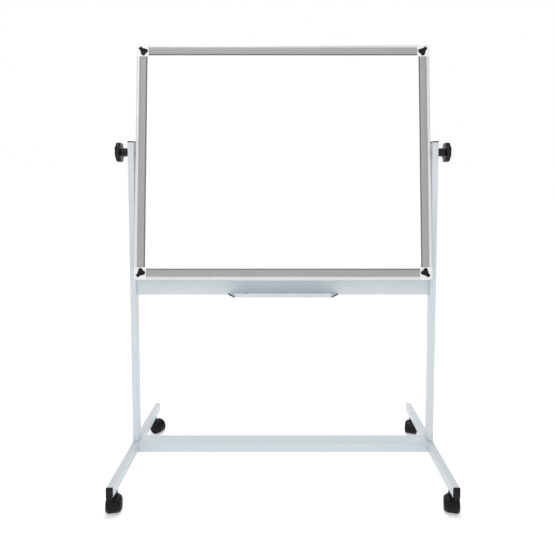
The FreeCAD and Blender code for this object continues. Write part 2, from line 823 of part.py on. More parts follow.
def knob(side_name, side):
    """A lobed clamping knob that screws onto the pivot stud, with a brass insert and a washer."""
    head = new_body(f"{side_name}_knob")
    neck = [("circle", "0", "0", "knob_neck_radius")]
    pad(head, "YZ_Plane", "knob_start", "knob_neck_length", neck)
    head_start = "knob_start + knob_neck_length"
    pad(head, "YZ_Plane", head_start, "knob_head_length", [("circle", "0", "0", "knob_radius")])
    outer = f"{head_start} + knob_head_length"
    rim = number("knob_radius")
    round_edges(head, "knob_rounding",
                lambda e: e.Curve.TypeId == "Part::GeomCircle" and abs(e.Curve.Radius - rim) < 1e-3)
    scallop = pocket(head, "YZ_Plane", f"{outer} + 1", "knob_head_length + 2",
                     [("circle", "0", "knob_radius + scallop_radius - scallop_depth",
                       "scallop_radius")])
    repeat_round(head, scallop, "X_Axis", "knob_lobes")
    dish = [("circle", "0", "0", "knob_dish_radius")]
    pocket(head, "YZ_Plane", f"{outer} + 1", "knob_dish + 1", dish)
    pocket(head, "YZ_Plane", "knob_start + insert_length", "insert_length",
           [("circle", "0", "0", "insert_radius")])
    pocket(head, "YZ_Plane", "stud_end + 2", "stud_end + 2 - knob_start",
           [("circle", "0", "0", "stud_radius + running_gap")])

    def sleeve(label, radius, length, start, gap):
        bore = cylinder(f"stud_radius + {gap}", f"3 * {length}", f"{start} - {length}",
                        "0", "0", *X_AXIS_TURN)
        body = cylinder(radius, length, start, "0", "0", *X_AXIS_TURN)
        return node(cut(body, bore), label)

    insert = sleeve(f"{side_name}_knob_insert", "insert_radius", "insert_length", "knob_start",
                    "running_gap")
    washer = sleeve(f"{side_name}_knob_washer", "washer_radius", "washer_thickness",
                    "knob_start - washer_thickness", "2 * running_gap")
    for item in (head, insert, washer):
        place(item, z="pivot_height", turn="0" if side > 0 else "180")


# --- casters -------------------------------------------------------------------------------------

CASTERS = (("front_left", -1, -1, "10"), ("front_right", 1, -1, "-14"),
           ("rear_left", -1, 1, "62"), ("rear_right", 1, 1, "-20"))


def caster_place(side, end):
    return f"{side} * {UPRIGHT_MIDDLE}", f"{end} * {CASTER_Y}"


def wheel(label, side):
    """A moulded wheel with a dished outer face, turned about the axle."""
    body = new_body(label)
    faces = {"inner": "wheel_inner", "outer": "wheel_inner + wheel_width"}

    def x_at(face, step):
        return f"{side} * ({faces[face]} + ({step}))"

    corners = [
        (x_at("inner", "0"), "axle_radius + running_gap"),
        (x_at("outer", "-3"), "axle_radius + running_gap"),
        (x_at("outer", "-3"), "axle_radius + 6"),
        (x_at("outer", "-6"), "axle_radius + 7"),
        (x_at("outer", "-6"), "wheel_radius - 8"),
        (x_at("outer", "-1"), "wheel_radius - 5"),
        (x_at("outer", "0"), "wheel_radius - 3.5"),
        (x_at("outer", "-3.5"), "wheel_radius"),
        (x_at("inner", "2"), "wheel_radius"),
        (x_at("inner", "0"), "wheel_radius - 2"),
    ]
    corners[6] = (*corners[6], "3.5", -winding(corners))
    revolve(body, "XY_Plane", "H_Axis", corners)
    sketch = body.Tip.Profile[0]
    bind(sketch, "AttachmentOffset.Base.y", "-caster_trail")
    bind(sketch, "AttachmentOffset.Base.z", "wheel_radius")
    doc.recompute()
    return body


def caster_housing(label, braked):
    """The swivel body: a boss round the stem, a web between the wheels, and a hood over them."""
    axle_y, axle_z = "-caster_trail", "wheel_radius"

    def along_x(radius, half, x="0"):
        """A cylinder about the axle, reaching half to each side of x."""
        return cylinder(radius, f"2 * ({half})", f"{x} - ({half})", axle_y, axle_z, *X_AXIS_TURN)

    parts = [along_x("hood_radius", "hood_half_width"),
             cylinder("boss_radius", "boss_top - wheel_radius", z="wheel_radius")]
    tools = []
    for side in (-1, 1):
        middle = f"{side} * (wheel_inner - web_gap + wheel_width)"
        tools.append(along_x("wheel_radius + hood_gap", "wheel_width", middle))
        if braked:
            ear = f"{side} * (pedal_barrel_half + free_gap + ear_width / 2) - ear_width / 2"
            parts.append(cylinder("ear_radius", "ear_width", ear, "pedal_y", "pedal_z",
                                  *X_AXIS_TURN))
    reach = "4 * hood_radius"
    tools.append(box(reach, reach, f"{reach} + hood_under", z=f"-({reach})"))
    tools.append(box(reach, "hood_radius", "hood_open", y="hood_radius / 2 - 2"))
    tools.append(along_x("axle_radius", "hood_radius"))
    tools.append(cylinder("stem_radius + running_gap", "boss_top", z="stem_foot - 1"))
    if braked:
        gap = "free_gap"
        tools.append(cylinder(f"pedal_barrel + {gap}", f"2 * (pedal_barrel_half + {gap})",
                              f"-(pedal_barrel_half + {gap})", "pedal_y", "pedal_z", *X_AXIS_TURN))
        tools.append(cylinder("pedal_pin + running_gap", "2 * hood_radius", "-hood_radius",
                              "pedal_y", "pedal_z", *X_AXIS_TURN))
    return node(cut(fuse(parts), fuse(tools)), label)


def brake_pedal(label):
    """A foot pedal on two short pins behind the hood. Pressed down, it locks the wheels."""
    barrel = cylinder("pedal_barrel", "2 * pedal_barrel_half", "-pedal_barrel_half", "0", "0",
                      *X_AXIS_TURN)
    pin = cylinder("pedal_pin", "2 * (pedal_barrel_half + ear_width)",
                   "-(pedal_barrel_half + ear_width)", "0", "0", *X_AXIS_TURN)
    arm = box("2 * pedal_barrel_half", "pedal_reach", "pedal_thickness", "0", "-pedal_reach / 2",
              "pedal_barrel - pedal_thickness")
    blade = box("2 * pedal_half", "pedal_reach - ear_radius - 1", "pedal_thickness", "0",
                "-(pedal_reach + ear_radius + 1) / 2", "pedal_barrel - pedal_thickness")
    raised = fuse([barrel, pin, arm, blade])
    place(raised, "0", "pedal_y", "pedal_z", (1, 0, 0), "-pedal_rise")
    return group(label, [raised])


def build_casters():
    stems = []
    for name, side, end, turn in CASTERS:
        x, y = caster_place(side, end)
        braked = end < 0
        pieces = [caster_housing(f"{name}_caster_housing", braked)]
        axle = cylinder("axle_radius", "2 * (wheel_inner + wheel_width - 3.5)",
                        "-(wheel_inner + wheel_width - 3.5)", "-caster_trail", "wheel_radius",
                        *X_AXIS_TURN)
        pieces.append(group(f"{name}_caster_axle", [axle]))
        for wheel_name, wheel_side in SIDES:
            pieces.append(wheel(f"{name}_caster_{wheel_name}_wheel", wheel_side))
        if braked:
            pieces.append(brake_pedal(f"{name}_brake_pedal"))
        for item in pieces:
            place(item, x, y, "0", turn=turn)

        pin = cylinder("stem_radius", "leg_under + stem_rise - stem_foot", z="stem_foot")
        flange = doc.addObject("Part::Prism", "Flange")
        bind(flange, "Circumradius", "stem_flange")
        bind(flange, "Height", "leg_under - boss_top - 0.5")
        place(flange, z="boss_top + 0.5")
        stem = fuse([pin, flange])
        place(stem, x, y, "0")
        stems.append(stem)
    group("caster_stems", stems)


def check_and_write():
    """Stops if anything failed, and otherwise writes one STEP file for each node."""
    doc.recompute()
    failed = [item.Name for item in doc.Objects
              if {"Invalid", "Error"} & set(item.State)]
    failed += [label for label, item in nodes.items()
               if item.Shape.isNull() or not item.Shape.isValid()]
    if failed:
        raise ValueError(f"failed: {failed}")
    os.makedirs("parts", exist_ok=True)
    for label, item in nodes.items():
        item.Shape.exportStep(f"parts/{label}.step")


build_stand()
build_tray()
build_board()
for name, direction in SIDES:
    knob(name, direction)
build_casters()
check_and_write()
print(len(nodes), "nodes")
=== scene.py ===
import json
import math

import bmesh
import bpy
from mathutils import Matrix, Vector


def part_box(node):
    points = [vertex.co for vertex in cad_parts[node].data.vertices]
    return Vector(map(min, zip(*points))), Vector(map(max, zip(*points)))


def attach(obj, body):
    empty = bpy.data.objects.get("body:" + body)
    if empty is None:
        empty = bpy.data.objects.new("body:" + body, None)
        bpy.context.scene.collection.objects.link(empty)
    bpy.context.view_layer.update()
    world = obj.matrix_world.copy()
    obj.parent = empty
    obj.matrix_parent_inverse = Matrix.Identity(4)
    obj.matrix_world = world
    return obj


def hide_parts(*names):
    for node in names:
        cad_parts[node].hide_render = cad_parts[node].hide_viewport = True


# A rolling reversible whiteboard. Sizes in this script are in millimetres until a mesh is made.

MM = 0.001
SMOOTH_ANGLE = math.radians(32)
BEVEL_ANGLE = math.radians(35)
SIDES = (("left", -1), ("right", 1))

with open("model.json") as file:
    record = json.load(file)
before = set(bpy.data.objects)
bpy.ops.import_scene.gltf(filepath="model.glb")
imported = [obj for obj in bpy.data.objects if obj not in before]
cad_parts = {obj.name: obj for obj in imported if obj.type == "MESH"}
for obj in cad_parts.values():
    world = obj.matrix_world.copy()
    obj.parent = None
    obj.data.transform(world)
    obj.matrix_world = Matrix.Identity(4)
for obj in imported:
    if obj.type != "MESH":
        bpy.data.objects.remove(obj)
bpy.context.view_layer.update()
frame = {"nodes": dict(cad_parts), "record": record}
record = frame["record"]
body_of = {node: body for body, nodes in record["behaviour"]["bodies"].items() for node in nodes}
slot_of = {item["node"]: item["material_slot"] for item in record["subparts"]}
joint_named = {joint["name"]: joint for joint in record["behaviour"]["joints"]}


def box_mm(node):
    low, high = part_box(node)
    return low / MM, high / MM


def middle_mm(node):
    low, high = box_mm(node)
    return (low + high) / 2


# --- materials -------------------------------------------------------------------------------------


def add_node(tree, kind, inputs=None, **settings):
    item = tree.nodes.new(kind)
    for name, value in settings.items():
        setattr(item, name, value)
    for name, value in (inputs or {}).items():
        item.inputs[name].default_value = value
    return item


# nearly all of a noise texture's values lie between these two
NOISE_LOW, NOISE_HIGH = 0.3, 0.7


def finish_material(name, color, roughness, metallic=0.0, tone=0.05, tone_scale=6.0, blotch=0.06,
                    blotch_scale=25.0, stretch=(1, 1, 1), bumps=(), specular=0.5):
    """A material with uneven tone and gloss. bumps are (noise scale, height in mm) pairs."""
    material = bpy.data.materials.new(name)
    material.use_nodes = True
    tree = material.node_tree
    shader = tree.nodes["Principled BSDF"]
    link = tree.links.new
    shader.inputs["Metallic"].default_value = metallic
    shader.inputs["Specular IOR Level"].default_value = specular
    place = add_node(tree, "ShaderNodeTexCoord")
    mapping = add_node(tree, "ShaderNodeMapping", {"Scale": stretch})
    link(place.outputs["Object"], mapping.inputs["Vector"])

    def noise(scale, detail=4.0):
        item = add_node(tree, "ShaderNodeTexNoise",
                        {"Scale": scale, "Detail": detail, "Roughness": 0.55})
        link(mapping.outputs["Vector"], item.inputs["Vector"])
        return item.outputs["Fac"]

    ramp = add_node(tree, "ShaderNodeValToRGB")
    dark = [c * (1 - tone) for c in color]
    light = [min(1.0, c * (1 + tone)) for c in color]
    low, high = ramp.color_ramp.elements
    low.position, low.color = NOISE_LOW, (*dark, 1)
    high.position, high.color = NOISE_HIGH, (*light, 1)
    link(noise(tone_scale), ramp.inputs["Fac"])
    link(ramp.outputs["Color"], shader.inputs["Base Color"])

    gloss = add_node(tree, "ShaderNodeMapRange", {
        "From Min": NOISE_LOW, "From Max": NOISE_HIGH,
        "To Min": max(0.02, roughness - blotch), "To Max": min(1.0, roughness + blotch)})
    link(noise(blotch_scale), gloss.inputs["Value"])
    link(gloss.outputs["Result"], shader.inputs["Roughness"])

    normal = None
    for scale, height in bumps:
        bump = add_node(tree, "ShaderNodeBump", {"Strength": 1.0, "Distance": height * MM})
        link(noise(scale, 2.0), bump.inputs["Height"])
        if normal:
            link(normal, bump.inputs["Normal"])
        normal = bump.outputs["Normal"]
    if normal:
        link(normal, shader.inputs["Normal"])
    return material


WHITE_PAINT = finish_material(
    "white_paint", (0.575, 0.63, 0.66), 0.34, tone=0.02, blotch=0.05, bumps=[(420, 0.05)])
ALUMINIUM_ACROSS = finish_material(
    "aluminium_across", (0.35, 0.345, 0.35), 0.55, metallic=0.25, tone=0.05, tone_scale=30,
    blotch=0.07, blotch_scale=60, stretch=(0.04, 8, 8), bumps=[(90, 0.02)])
ALUMINIUM_UPRIGHT = finish_material(
    "aluminium_upright", (0.35, 0.345, 0.35), 0.55, metallic=0.25, tone=0.05, tone_scale=30,
    blotch=0.07, blotch_scale=60, stretch=(8, 8, 0.04), bumps=[(90, 0.02)])
# Painted highlight: a lighter copy of the rail aluminium for the rails' rounded outer lips, standing
# in for the light those lips catch.
PAINTED_HIGHLIGHT_LIP = finish_material(
    "lip_painted_highlight", (0.67, 0.675, 0.68), 0.4, metallic=0.3, tone=0.03, tone_scale=30,
    bumps=[(90, 0.01)])
# Painted shade: a dark copy of the rail aluminium for the rails' inner flanks, standing in for the
# shade in the recess beside the panel.
PAINTED_SHADE_FLANK = finish_material(
    "rail_flank_painted_shade", (0.13, 0.13, 0.135), 0.5, metallic=0.3, tone=0.1, bumps=[(300, 0.03)])
WHITE_LACQUER = finish_material(
    "white_lacquer", (0.93, 0.935, 0.935), 0.22, tone=0.006, tone_scale=2.5, blotch=0.05,
    blotch_scale=4, bumps=[(12, 0.02)])
CORNER_PLASTIC = finish_material(
    "corner_plastic", (0.78, 0.78, 0.785), 0.34, tone=0.02, bumps=[(700, 0.03)])
BLACK_TRIM = finish_material(
    "black_trim", (0.008, 0.008, 0.010), 0.45, tone=0.15, bumps=[(900, 0.03)], specular=0.15)
BLACK_GLOSS = finish_material(
    "black_gloss", (0.005, 0.005, 0.006), 0.14, tone=0.12, blotch=0.05, blotch_scale=60,
    bumps=[(500, 0.01)], specular=0.22)
CASTER_PLASTIC = finish_material(
    "caster_plastic", (0.006, 0.006, 0.007), 0.3, tone=0.15, blotch=0.08, blotch_scale=90,
    bumps=[(800, 0.02)], specular=0.14)
WHEEL_PLASTIC = finish_material(
    "wheel_plastic", (0.008, 0.008, 0.009), 0.42, tone=0.25, tone_scale=120, blotch=0.12,
    blotch_scale=150, bumps=[(500, 0.03)], specular=0.14)
NYLON = finish_material("nylon", (0.38, 0.39, 0.40), 0.42, tone=0.1, bumps=[(600, 0.04)])
ZINC = finish_material(
    "zinc_steel", (0.62, 0.63, 0.65), 0.3, metallic=1.0, tone=0.06, tone_scale=90, blotch=0.1,
    blotch_scale=120, bumps=[(400, 0.02)])
BRASS = finish_material(
    "brass", (0.72, 0.52, 0.24), 0.3, metallic=1.0, tone=0.06, tone_scale=90, bumps=[(300, 0.02)])
FIBREBOARD = finish_material(
    "fibreboard", (0.42, 0.30, 0.19), 0.75, tone=0.15, tone_scale=80, bumps=[(300, 0.2)])

SLOT_MATERIALS = {
    "white_paint": WHITE_PAINT, "anodised_aluminium": ALUMINIUM_ACROSS,
    "white_lacquer": WHITE_LACQUER, "grey_plastic": CORNER_PLASTIC, "black_trim": BLACK_TRIM,
    "black_gloss": BLACK_GLOSS, "caster_plastic": CASTER_PLASTIC, "wheel_plastic": WHEEL_PLASTIC,
    "nylon": NYLON, "zinc_steel": ZINC, "brass": BRASS, "fibreboard": FIBREBOARD,
}


# --- solids ----------------------------------------------------------------------------------------


def rounded_rectangle(width, height, radius, steps=5):
    """Corner points of a rectangle about the origin, with round corners."""
    points = []
    quarters = ((1, 1, 0), (-1, 1, 90), (-1, -1, 180), (1, -1, 270))
    for x_way, y_way, start in quarters:
        for step in range(steps + 1):
            angle = math.radians(start + 90 * step / steps)
            points.append((x_way * (width / 2 - radius) + radius * math.cos(angle),
                           y_way * (height / 2 - radius) + radius * math.sin(angle)))
    return points


def arc(x, y, radius, start, end, steps):
    """Points along an arc, with angles in degrees."""
    angles = [math.radians(start + (end - start) * i / steps) for i in range(steps + 1)]
    return [(x + radius * math.cos(a), y + radius * math.sin(a)) for a in angles]


def is_sharp(edge):
    return len(edge.link_faces) == 2 and edge.calc_face_angle() > BEVEL_ANGLE


def bevel(solid, width, steps):
    """Rounds every sharp edge of a solid."""
    if width <= 0:
        return solid
    edges = [edge for edge in solid.edges if is_sharp(edge)]
    bmesh.ops.bevel(solid, geom=edges, offset=width, segments=steps, profile=0.6,
                    affect="EDGES", clamp_overlap=True)
    return solid


def prism(outline, low, high, rounding=0.0, steps=3):
    """The outline in XY, raised from low to high along Z."""
    solid = bmesh.new()
    rings = [[solid.verts.new((x, y, z)) for x, y in outline] for z in (low, high)]
    count = len(outline)
    for i in range(count):
        after = (i + 1) % count
        solid.faces.new((rings[0][i], rings[0][after], rings[1][after], rings[1][i]))
    solid.faces.new(rings[1])
    solid.faces.new(rings[0][::-1])
    bmesh.ops.recalc_face_normals(solid, faces=solid.faces)
    return bevel(solid, rounding, steps)


def block(low, high, rounding=0.0, steps=3):
    """A box between two corners."""
    outline = [(low[0], low[1]), (high[0], low[1]), (high[0], high[1]), (low[0], high[1])]
    return prism(outline, low[2], high[2], rounding, steps)


def lathe(profile, segments=64, shape=None):
    """Turns (height, radius) points round Z. shape(index, angle) scales the radius where given."""
    solid = bmesh.new()
    rings = []
    for index, (height, radius) in enumerate(profile):
        if radius < 1e-6:
            rings.append([solid.verts.new((0, 0, height))])
            continue
        ring = []
        for step in range(segments):
            angle = 2 * math.pi * step / segments
            reach = radius * (shape(index, angle) if shape else 1)
            ring.append(solid.verts.new((reach * math.cos(angle), reach * math.sin(angle), height)))
        rings.append(ring)
    for lower, upper in zip(rings, rings[1:]):
        for i in range(segments):
            after = (i + 1) % segments
            if len(lower) == 1 and len(upper) == 1:
                break
            if len(lower) == 1:
                solid.faces.new((lower[0], upper[after], upper[i]))
            elif len(upper) == 1:
                solid.faces.new((lower[i], lower[after], upper[0]))
            else:
                solid.faces.new((lower[i], lower[after], upper[after], upper[i]))
    for ring, way in ((rings[0], -1), (rings[-1], 1)):
        if len(ring) > 1:
            solid.faces.new(ring[::way])
    bmesh.ops.recalc_face_normals(solid, faces=solid.faces)
    return solid


def toward(direction):
    """The turn that takes +Z to a direction."""
    return Vector(direction).to_track_quat("Z", "Y").to_matrix().to_4x4()


def shift(x, y, z):
    return Matrix.Translation((x, y, z))


# a face that a solid's maker marks with one of these numbers takes the material beside it: painted
# shade on the rails' inner flanks, a painted highlight on their outer lips
SHADE_MARK, HIGHLIGHT_MARK = 1, 2
MARKED = {SHADE_MARK: PAINTED_SHADE_FLANK, HIGHLIGHT_MARK: PAINTED_HIGHLIGHT_LIP}


class Piece:
    """One visible piece that stands for one CAD node."""

    def __init__(self, node, material=None):
        """Takes the material of the node's slot where no other is given."""
        self.node = node
        self.mesh = bpy.data.meshes.new(node + "_look")
        self.whole = bmesh.new()
        self.materials = []
        self.plain = material or SLOT_MATERIALS[slot_of[node]]

    def index(self, material):
        if material not in self.materials:
            self.materials.append(material)
        return self.materials.index(material)

    def add(self, solid, matrix=None):
        """Adds a solid, and frees it."""
        for face in solid.faces:
            face.material_index = self.index(MARKED.get(face.material_index, self.plain))
        if matrix is not None:
            solid.transform(matrix)
        part = bpy.data.meshes.new("part")
        solid.to_mesh(part)
        solid.free()
        self.whole.from_mesh(part)
        bpy.data.meshes.remove(part)
        return self

    def done(self):
        """Makes the object, hangs it on its body and hides the CAD node it stands for."""
        bmesh.ops.recalc_face_normals(self.whole, faces=self.whole.faces)
        for face in self.whole.faces:
            face.smooth = True
        for edge in self.whole.edges:
            if len(edge.link_faces) == 2 and edge.calc_face_angle() > SMOOTH_ANGLE:
                edge.smooth = False
        self.whole.transform(Matrix.Scale(MM, 4))
        self.whole.to_mesh(self.mesh)
        self.whole.free()
        for material in self.materials:
            self.mesh.materials.append(material)
        item = bpy.data.objects.new(self.node + "_look", self.mesh)
        bpy.context.scene.collection.objects.link(item)
        modifier = item.modifiers.new("Normals", "WEIGHTED_NORMAL")
        modifier.keep_sharp = True
        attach(item, body_of[self.node])
        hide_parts(self.node)


# --- stand -----------------------------------------------------------------------------------------

TUBE_CORNER = 3.2
CAP_GROOVE, CAP_ROUNDING = 0.2, 1.4


def tube(node):
    """A rectangular tube with rounded long edges, from the CAD node's own box."""
    low, high = box_mm(node)
    size, middle = high - low, (low + high) / 2
    along = max(range(3), key=lambda i: size[i])
    wide, tall = [i for i in range(3) if i != along]
    solid = prism(rounded_rectangle(size[wide], size[tall], TUBE_CORNER),
                  -size[along] / 2, size[along] / 2)
    turn = Matrix.Identity(4)
    for column, axis in enumerate((wide, tall, along)):
        for row in range(3):
            turn[row][column] = 1 if row == axis else 0
    Piece(node).add(solid, shift(*middle) @ turn).done()


def end_cap(width, depth, head):
    """A domed cap head over a tube's end, with a thin parting groove above the tube."""
    solid = prism(rounded_rectangle(width, depth, TUBE_CORNER), CAP_GROOVE, head)
    rim = [edge for edge in solid.edges
           if is_sharp(edge) and all(abs(v.co.z - head) < 1e-6 for v in edge.verts)]
    bmesh.ops.bevel(solid, geom=rim, offset=CAP_ROUNDING, segments=4, profile=0.5,
                    affect="EDGES")
    return solid


def cap_turn(way):
    """Lines up a cap's width with the world's X after toward() has pointed it along Y."""
    facing = toward((0, way, 0)).inverted() @ Vector((1, 0, 0))
    return Matrix.Rotation(math.atan2(facing.y, facing.x), 4, "Z")


def button_head(radius, height):
    """A domed bolt head with a hexagon socket."""
    socket = radius * 0.5
    dome = [(0, radius), (height * 0.25, radius * 0.98), (height * 0.6, radius * 0.84),
            (height * 0.9, radius * 0.66), (height, socket * 1.12)]
    profile = dome + [(height * 0.98, socket), (height * 0.3, socket), (height * 0.3, 0)]
    side = math.pi / 3

    def hexagon(index, angle):
        """How far out the socket's wall is, as a share of the distance to its corners."""
        if index < len(dome):
            return 1
        return math.cos(side / 2) / math.cos((angle % side) - side / 2)

    return lathe(profile, 48, hexagon)


def build_stand():
    for node in ("left_leg", "right_leg", "left_upright", "right_upright", "base_cross_member",
                 "upper_crossbar"):
        tube(node)
    build_leg_caps()
    build_top_caps()
    build_bolts()


def build_leg_caps():
    caps = Piece("leg_end_caps")
    for side_name, _ in SIDES:
        low, high = box_mm(f"{side_name}_leg")
        middle, size = (low + high) / 2, high - low
        head = box_mm("leg_end_caps")[1].y - high.y
        for y, way in ((low.y, -1), (high.y, 1)):
            caps.add(end_cap(size.x, size.z, head),
                     shift(middle.x, y, middle.z) @ toward((0, way, 0)) @ cap_turn(way))
    caps.done()


def build_top_caps():
    caps = Piece("upright_top_caps")
    for side_name, _ in SIDES:
        low, high = box_mm(f"{side_name}_upright")
        middle, size = (low + high) / 2, high - low
        head = box_mm("upright_top_caps")[1].z - high.z
        caps.add(end_cap(size.x, size.y, head), shift(middle.x, middle.y, high.z))
    caps.done()


BOLT_RADIUS, BOLT_HEIGHT = 5.5, 3.3


def build_bolts():
    for node in ("crossbar_bolts", "base_bolts"):
        bolts = Piece(node)
        low, high = box_mm(node)
        for side_name, side in SIDES:
            face = box_mm(f"{side_name}_upright")[side > 0].x
            spread = [(low.y + BOLT_RADIUS, low.z + BOLT_RADIUS),
                      (high.y - BOLT_RADIUS, high.z - BOLT_RADIUS)]
            for y, z in spread:
                bolts.add(button_head(BOLT_RADIUS, BOLT_HEIGHT),
                          shift(face, y, z) @ toward((side, 0, 0)))
        bolts.done()


# --- pen tray --------------------------------------------------------------------------------------

TRAY_SHEET, TRAY_BEND, TRAY_TAPER = 1.2, 2.2, 30
tray_low, tray_high = box_mm("pen_tray")


def tray_section():
    """The tray's section as (Y, Z) points: out along the underside, over the lip and back."""
    back, front = tray_high.y - TRAY_BEND, tray_low.y + TRAY_BEND
    bend_height, lip = tray_low.z + TRAY_BEND, tray_high.z
    edge = TRAY_SHEET / 2
    points = [(tray_high.y, lip)]
    points += arc(back, bend_height, TRAY_BEND, 0, -90, 5)
    points += arc(front, bend_height, TRAY_BEND, 270, 180, 5)
    points += arc(tray_low.y + edge, lip - edge, edge, 180, 0, 6)
    points += arc(front, bend_height, TRAY_BEND - TRAY_SHEET, 180, 270, 5)
    points += arc(back, bend_height, TRAY_BEND - TRAY_SHEET, -90, 0, 5)
    return points + [(tray_high.y - TRAY_SHEET, lip)]


def build_tray_channel():
    solid = bmesh.new()
    rows = []
    for y, z in tray_section():
        half = tray_high.x - TRAY_TAPER * (tray_high.y - y) / (tray_high.y - tray_low.y)
        rows.append((solid.verts.new((-half, y, z)), solid.verts.new((half, y, z))))
    for (a, b), (c, d) in zip(rows, rows[1:] + rows[:1]):
        solid.faces.new((a, b, d, c))
    solid.faces.new([row[0] for row in rows])
    solid.faces.new([row[1] for row in rows][::-1])
    bmesh.ops.recalc_face_normals(solid, faces=solid.faces)
    Piece("pen_tray").add(solid).done()


# The dark end caps on the tray's slanted ends are partly real black trim and partly painted shade
# along the bottom of those ends.
def build_tray_caps_and_painted_shade():
    caps = Piece("tray_end_caps")
    top = box_mm("tray_end_caps")[1]
    thickness = top.x - tray_high.x
    for _, side in SIDES:
        outline = [(side * tray_high.x, tray_high.y),
                   (side * (tray_high.x + thickness), tray_high.y),
                   (side * (tray_high.x - TRAY_TAPER + thickness), tray_low.y),
                   (side * (tray_high.x - TRAY_TAPER), tray_low.y)]
        caps.add(prism(outline, tray_low.z, top.z, 0.6))
    caps.done()


def build_tray_screws():
    screws = Piece("tray_screws")
    low, high = box_mm("tray_screws")
    radius = (high.z - low.z) / 2
    reach = high.x - radius
    profile = [(0, radius), (0.8, radius), (1.6, radius * 0.8), (2, radius * 0.45),
               (1.4, radius * 0.35), (1.2, 0)]
    for x in (-reach, 0, reach):
        screws.add(lathe(profile, 32),
                   shift(x, tray_high.y - TRAY_SHEET, (low.z + high.z) / 2) @ toward((0, -1, 0)))
    screws.done()


# --- board -----------------------------------------------------------------------------------------

PIVOT = Vector(joint_named["board_flip"]["pos_m"]) / MM
lean = middle_mm("top_rail") - middle_mm("bottom_rail")
TILT = math.atan2(lean.y, lean.z)
ON_BOARD = shift(*PIVOT) @ Matrix.Rotation(-TILT, 4, "X")
PANEL_INSET, RAIL_WIDTH, CORNER_SIZE = 22, 44, 50
HALF_WIDTH = box_mm("core_board")[1].x + PANEL_INSET
to_board = ON_BOARD.inverted()
BOARD_TOP = (to_board @ middle_mm("top_rail")).z + RAIL_WIDTH / 2
BOARD_LOW = (to_board @ middle_mm("bottom_rail")).z - RAIL_WIDTH / 2
LIP_END, SHADED_FLANK_START = 12, 39.6


def rail_outline():
    """One rail's section: distance in from the edge, and half thickness at that place."""
    lip = [(0, 6.0), (0.3, 6.9), (1.2, 7.7), (2.6, 8.1), (6, 8.4), (10, 8.2), (11.4, 7.8)]
    crown = [(LIP_END, 7.4), (LIP_END, 8.6)]
    crown += arc(26, -36.6, 47.4, 106, 74, 16)
    return lip + crown + [(SHADED_FLANK_START, 8.4), (40.6, 7.4), (43.2, 7.0), (44, 6.5), (44, 6.05)]


def rail_solid(start, end):
    """A rail along Z from start to end, with its section in XY: X in from the edge, Y through."""
    front = rail_outline()
    solid = prism(front + [(u, -v) for u, v in front[::-1]], start, end)
    # Faces on the inner flank take painted shade, faces on the outer lip a painted highlight.
    for face in solid.faces:
        if len(face.verts) == 4:
            inward = sum(v.co.x for v in face.verts) / 4
            if inward > SHADED_FLANK_START:
                face.material_index = SHADE_MARK
            elif inward < LIP_END:
                face.material_index = HIGHLIGHT_MARK
    return solid


def build_rails():
    for side_name, side in SIDES:
        solid = rail_solid(BOARD_LOW + CORNER_SIZE, BOARD_TOP - CORNER_SIZE)
        place = Matrix(((-side, 0, 0, side * HALF_WIDTH), (0, 1, 0, 0), (0, 0, 1, 0), (0, 0, 0, 1)))
        Piece(f"{side_name}_rail", ALUMINIUM_UPRIGHT).add(solid, ON_BOARD @ place).done()
    for end_name, end, edge in (("top", 1, BOARD_TOP), ("bottom", -1, BOARD_LOW)):
        solid = rail_solid(CORNER_SIZE - HALF_WIDTH, HALF_WIDTH - CORNER_SIZE)
        place = Matrix(((0, 0, 1, 0), (0, 1, 0, 0), (-end, 0, 0, edge), (0, 0, 0, 1)))
        Piece(f"{end_name}_rail", ALUMINIUM_ACROSS).add(solid, ON_BOARD @ place).done()


CORNER_HALF, CORNER_RADIUS, COVER_THICKNESS, COVER_SUNK = 11.6, 14, 2.2, 0.1


def corner_outline():
    """A corner cap seen from the front: the board's corner at the origin, inward along +X and +Y."""
    points = arc(CORNER_RADIUS, CORNER_RADIUS, CORNER_RADIUS, 270, 180, 10)
    return points + [(0, CORNER_SIZE), (CORNER_SIZE, CORNER_SIZE), (CORNER_SIZE, 0)]


def cover_outline():
    """A cover seen from the front, with its diagonal along +X: a square tail and two lobes."""
    lobe, along, sideways = 8, 47, 7.8
    upper = [(18.8, 6), (19.4, 6.7), (27, 6.8), (31, 8)]
    upper += arc(along, sideways, lobe, 112, 0, 14)
    upper += [(54.7, 4.5), (53.6, 1.5), (53.3, 0)]
    return upper + [(x, -y) for x, y in upper[::-1][1:]]


def build_corners():
    covers = Piece("corner_covers")
    for end_name, end, edge in (("top", 1, BOARD_TOP), ("bottom", -1, BOARD_LOW)):
        for side_name, side in SIDES:
            at_corner = Matrix(((-side, 0, 0, side * HALF_WIDTH), (0, 0, -1, 0),
                                (0, -end, 0, edge), (0, 0, 0, 1)))
            solid = prism(corner_outline(), -CORNER_HALF, CORNER_HALF, 2.6, 4)
            Piece(f"{end_name}_{side_name}_corner_cap").add(solid, ON_BOARD @ at_corner).done()
            for face in (1, -1):
                tab = prism(cover_outline(), 0, COVER_THICKNESS, 0.7)
                diagonal = Matrix.Rotation(math.radians(45), 4, "Z")
                out = (shift(0, 0, face * (CORNER_HALF - COVER_SUNK))
                       @ Matrix.Scale(face, 4, (0, 0, 1)))
                covers.add(tab, ON_BOARD @ at_corner @ out @ diagonal)
    covers.done()


# --- knobs -----------------------------------------------------------------------------------------

KNOB_LOBES, KNOB_LENGTH, KNOB_RIM, GROOVE_DEPTH = 8, 45, 41, 0.17


